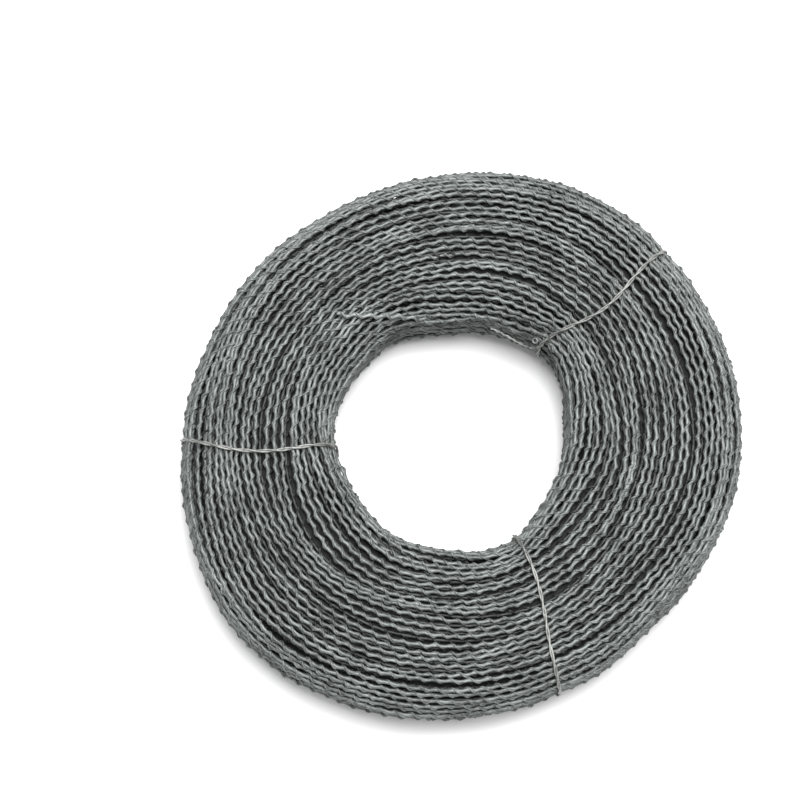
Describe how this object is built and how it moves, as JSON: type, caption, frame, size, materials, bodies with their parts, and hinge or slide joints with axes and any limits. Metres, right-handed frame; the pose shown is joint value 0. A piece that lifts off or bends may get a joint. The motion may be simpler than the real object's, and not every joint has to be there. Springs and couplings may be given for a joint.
{
  "type": "sealing wire coil",
  "caption": "Flat ring-shaped coil of thin twisted steel sealing wire, bound by wire ties round its bundle, with a free end lying on the turns.",
  "frame": {"origin": "centre of the coil at the level of the surface that it lies on", "axes": "+Z along the coil's axis, upwards; +X to the right and +Y to the top in the coil's plan, as seen from above"},
  "size_m": [0.1006, 0.1, 0.0207],
  "materials": {
    "wire": "dull galvanised",
    "tie": "dull galvanised"
  },
  "bodies": {
    "root": {"wire_coil": "wire", "tie_left": "tie", "tie_upper_right": "tie", "tie_lower_right": "tie"}
  },
  "joints": []
}
